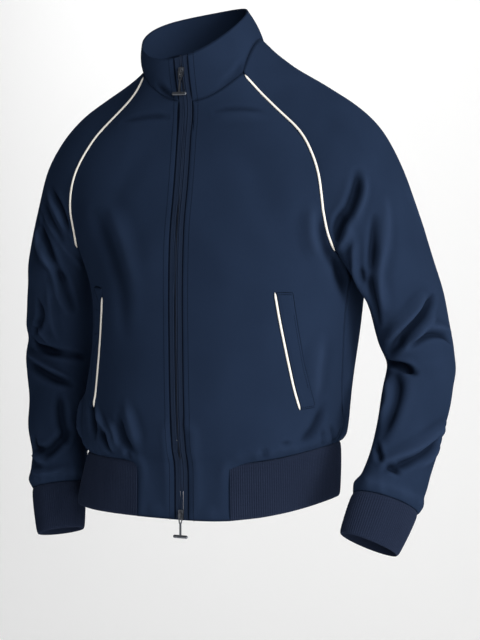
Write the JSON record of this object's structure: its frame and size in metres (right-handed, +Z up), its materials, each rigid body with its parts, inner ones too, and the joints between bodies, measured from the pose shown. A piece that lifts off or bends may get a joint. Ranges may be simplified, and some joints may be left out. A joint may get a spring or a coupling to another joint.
{
  "type": "track jacket",
  "caption": "Zip-up track jacket in its worn form, with raglan sleeves, a stand collar, piped slant pockets and ribbed hem and cuffs; open and hollow inside.",
  "frame": {"origin": "centre of the neck base, where the wearer's neck and shoulders hold the jacket", "axes": "+Z up along the body, -Y towards the front and the zip, +X towards the wearer's left sleeve"},
  "size_m": [0.6623, 0.2611, 0.7617],
  "materials": {
    "navy_cloth": "smooth knit with a faint sheen",
    "rib_knit": "matt ribbed knit",
    "ivory_piping": "soft woven piping",
    "zip_tape": "matt woven tape",
    "zip_metal": "dark gunmetal, satin"
  },
  "bodies": {
    "jacket": {"front_left": "navy_cloth", "front_right": "navy_cloth", "back": "navy_cloth", "sleeve_left": "navy_cloth", "sleeve_right": "navy_cloth", "collar": "navy_cloth", "pocket_welt_left": "navy_cloth", "pocket_welt_right": "navy_cloth", "pocket_piping_left": "ivory_piping", "pocket_piping_right": "ivory_piping", "raglan_piping_left": "ivory_piping", "raglan_piping_right": "ivory_piping", "hem_rib": "rib_knit", "cuff_left": "rib_knit", "cuff_right": "rib_knit", "zip_tape_left": "zip_tape", "zip_tape_right": "zip_tape", "zip_chain": "zip_tape", "top_slider": "zip_metal", "bottom_slider": "zip_metal"},
    "top_pull": {"top_pull": "zip_metal"},
    "bottom_pull": {"bottom_pull": "zip_metal"}
  },
  "joints": [
    {"name": "top_pull_swing", "type": "hinge", "parent": "jacket", "child": "top_pull", "pos_m": [-0.01519, -0.08743, -0.03341], "axis": [-1, 0, 0], "range_deg": [0, 150]},
    {"name": "bottom_pull_swing", "type": "hinge", "parent": "jacket", "child": "bottom_pull", "pos_m": [0, -0.12221, -0.63], "axis": [-1, 0, 0], "range_deg": [0, 150]}
  ]
}
